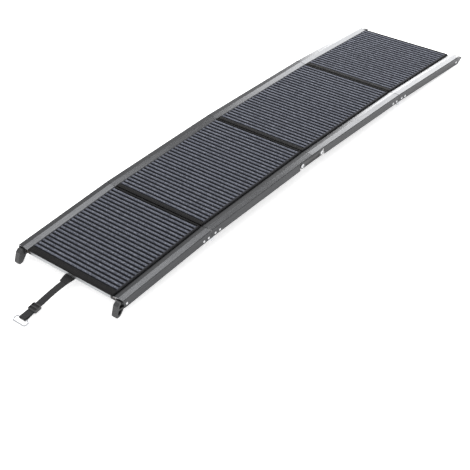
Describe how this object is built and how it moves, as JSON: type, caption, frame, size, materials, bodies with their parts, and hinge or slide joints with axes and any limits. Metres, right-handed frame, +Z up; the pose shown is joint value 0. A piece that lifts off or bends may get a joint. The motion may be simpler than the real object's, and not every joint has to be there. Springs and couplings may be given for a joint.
{
  "type": "dog ramp",
  "caption": "Folding dog ramp with a ribbed carpet deck between metal side rails, hinged sections, a carry handle and a tether strap.",
  "frame": {"origin": "on the floor under the middle of the unfolded ramp, strap left out", "axes": "+X from the car end to the ground end, +Y to the left, +Z up"},
  "size_m": [1.8353, 0.433, 0.0667],
  "materials": {
    "rail_aluminium": "satin, dark grey coating",
    "board": "dark film-faced board",
    "tread_mat": "ribbed blue-grey carpet",
    "edge_strip": "fine texture",
    "edge_profile": "satin",
    "zinc_steel": "zinc plated",
    "bright_steel": "bright",
    "screw_steel": "bright",
    "bridge_casting": "black, semi-gloss",
    "handle_aluminium": "satin anodised",
    "grip_foam": "foam",
    "foot_plastic": "fine texture",
    "tab_webbing": "woven",
    "webbing": "woven",
    "adjuster_plastic": "black",
    "carabiner_chrome": "polished"
  },
  "bodies": {
    "bridge": {"bridge_block_left": "bridge_casting", "bridge_block_right": "bridge_casting", "bridge_bolts": "bright_steel", "handle_grip": "grip_foam", "handle_screws": "screw_steel", "handle_tube": "handle_aluminium"},
    "section_1": {"board_1": "board", "edge_strips_1": "edge_strip", "front_edge_profile": "edge_profile", "front_fold_pivots": "bright_steel", "hinge_leaf_left_1": "zinc_steel", "hinge_leaf_right_1": "zinc_steel", "hook_foot_left": "foot_plastic", "hook_foot_right": "foot_plastic", "rail_left_1": "rail_aluminium", "rail_right_1": "rail_aluminium", "rivets_1": "bright_steel", "slide_adjuster": "adjuster_plastic", "strap_loop": "webbing", "strap_plate": "zinc_steel", "strap_screws": "screw_steel", "strap_tab": "tab_webbing", "strap_webbing": "webbing", "tread_1": "tread_mat"},
    "section_2": {"board_2": "board", "bridge_lug_left_2": "zinc_steel", "bridge_lug_right_2": "zinc_steel", "edge_strips_2": "edge_strip", "hinge_leaf_left_2": "zinc_steel", "hinge_leaf_right_2": "zinc_steel", "rail_left_2": "rail_aluminium", "rail_right_2": "rail_aluminium", "rivets_2": "bright_steel", "tread_2": "tread_mat"},
    "section_3": {"board_3": "board", "bridge_lug_left_3": "zinc_steel", "bridge_lug_right_3": "zinc_steel", "edge_strips_3": "edge_strip", "hinge_leaf_left_3": "zinc_steel", "hinge_leaf_right_3": "zinc_steel", "rail_left_3": "rail_aluminium", "rail_right_3": "rail_aluminium", "rivets_3": "bright_steel", "tread_3": "tread_mat"},
    "section_4": {"board_4": "board", "edge_strips_4": "edge_strip", "hinge_leaf_left_4": "zinc_steel", "hinge_leaf_right_4": "zinc_steel", "rail_left_4": "rail_aluminium", "rail_right_4": "rail_aluminium", "rear_edge_profile": "edge_profile", "rear_fold_pivots": "bright_steel", "rivets_4": "bright_steel", "tread_4": "tread_mat", "wedge_foot_left": "foot_plastic", "wedge_foot_right": "foot_plastic"},
    "carabiner": {"carabiner_frame": "carabiner_chrome", "carabiner_gate_pin": "carabiner_chrome"},
    "gate": {"carabiner_gate": "carabiner_chrome"}
  },
  "joints": [
    {"name": "bridge_front", "type": "hinge", "parent": "section_2", "child": "bridge", "pos_m": [-0.04555, 0, 0.05056], "axis": [0, 1, 0], "range_deg": [0, 88.9]},
    {"name": "bridge_rear", "type": "hinge", "parent": "bridge", "child": "section_3", "pos_m": [0.04843, 0, 0.0492], "axis": [0, 1, 0], "range_deg": [0, 88.9]},
    {"name": "fold_front", "type": "hinge", "parent": "section_2", "child": "section_1", "pos_m": [-0.45349, 0, 0.03397], "axis": [0, -1, 0], "range_deg": [0, 177.4]},
    {"name": "fold_rear", "type": "hinge", "parent": "section_3", "child": "section_4", "pos_m": [0.45572, 0, 0.02084], "axis": [0, 1, 0], "range_deg": [0, 178]},
    {"name": "carabiner_swing", "type": "hinge", "parent": "section_1", "child": "carabiner", "pos_m": [-0.98201, -0.0045, 0.0049], "axis": [0, 1, 0], "range_deg": [-60, 120]},
    {"name": "gate_hinge", "type": "hinge", "parent": "carabiner", "child": "gate", "pos_m": [-0.99979, 0.011, 0.0021], "axis": [-0.1556, 0, 0.9878], "range_deg": [0, 20], "stiffness_Nm_per_rad": 0.05, "springref_deg": -17.19}
  ]
}
